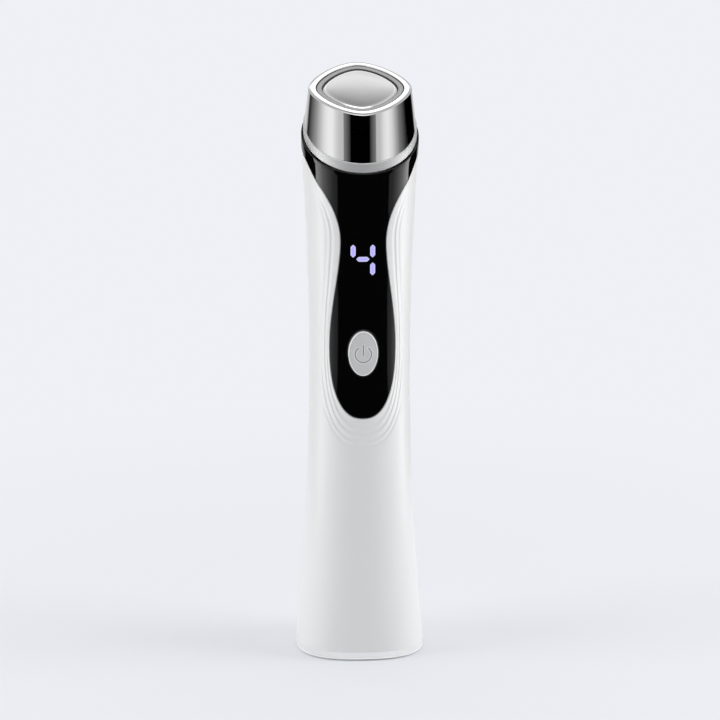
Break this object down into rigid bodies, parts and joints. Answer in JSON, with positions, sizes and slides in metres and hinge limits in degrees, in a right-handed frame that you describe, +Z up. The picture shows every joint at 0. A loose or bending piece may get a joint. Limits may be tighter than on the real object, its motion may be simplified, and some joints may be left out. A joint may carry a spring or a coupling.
{
  "type": "microcurrent facial device",
  "caption": "Slim upright wand with a flared foot, a black display panel with a digit and an oval button, and a slanted two-part metal electrode head.",
  "frame": {"origin": "centre of the foot, on the surface that the wand stands on", "axes": "+Z up along the body, -Y to the front with the display and the button, +X to the right seen from the front"},
  "size_m": [0.0398, 0.0398, 0.1839],
  "materials": {
    "board_green": "satin",
    "box_white": "matt",
    "button_grey": "satin",
    "capacitor_tan": "satin",
    "carrier_white": "satin",
    "cell_sleeve": "satin",
    "chip_black": "matt",
    "coil_ferrite": "matt",
    "foot_rubber": "matt",
    "frame_grey": "matt",
    "gasket_grey": "satin",
    "head_chrome": "mirror",
    "lead_black": "satin",
    "lead_blue": "satin",
    "lead_red": "satin",
    "lead_white": "satin",
    "lead_yellow": "satin",
    "light_resin": "gloss",
    "pad_foam": "matt",
    "panel_black": "high gloss",
    "plate_satin": "fine satin",
    "plunger_cream": "matt",
    "port_steel": "plain",
    "ring_satin": "satin",
    "screw_steel": "plain",
    "segment_dark": "gloss",
    "segment_lit": "lit",
    "shell_white": "gloss",
    "socket_ivory": "satin",
    "soft_seal": "matt",
    "strip_brass": "plain",
    "switch_black": "matt",
    "tab_nickel": "plain",
    "tongue_black": "matt",
    "transformer_tape": "satin"
  },
  "bodies": {
    "body": {"body_shell": "shell_white", "front_panel": "panel_black", "trim_ring": "ring_satin", "head_shell": "head_chrome", "electrode_gasket": "gasket_grey", "centre_electrode": "plate_satin", "button_seal": "soft_seal", "lit_segments": "segment_lit", "unlit_segments": "segment_dark", "light_box": "box_white", "segment_lights": "light_resin", "switch_body": "switch_black", "main_board": "board_green", "board_screws": "screw_steel", "control_chip": "chip_black", "charge_chip": "chip_black", "step_up_coil": "coil_ferrite", "output_transformer": "transformer_tape", "storage_capacitors": "capacitor_tan", "battery_socket": "socket_ivory", "inner_frame": "frame_grey", "battery_cell": "cell_sleeve", "battery_tabs": "tab_nickel", "battery_pad": "pad_foam", "positive_lead": "lead_red", "negative_lead": "lead_black", "charge_board": "board_green", "charge_screws": "screw_steel", "port_can": "port_steel", "port_tongue": "tongue_black", "charge_leads": "lead_yellow", "base_cap": "shell_white", "base_seal": "soft_seal", "foot_ring": "foot_rubber", "base_screws": "screw_steel", "head_carrier": "carrier_white", "head_seal": "soft_seal", "head_screws": "screw_steel", "rim_strip": "strip_brass", "centre_terminal": "tab_nickel", "terminal_screw": "screw_steel", "centre_lead": "lead_white", "rim_lead": "lead_blue"},
    "button": {"power_button": "button_grey"},
    "plunger": {"switch_plunger": "plunger_cream"}
  },
  "joints": [
    {"name": "button_press", "type": "slide", "parent": "body", "child": "button", "axis": [0, 1, 0], "range_m": [0, 0.0003], "stiffness_N_per_m": 900, "springref_m": -0.0005},
    {"name": "plunger_press", "type": "slide", "parent": "body", "child": "plunger", "axis": [0, 1, 0], "range_m": [0, 0.0003]}
  ],
  "couplings": [
    {"joint": "plunger_press", "follows": "button_press", "ratio": 1}
  ]
}
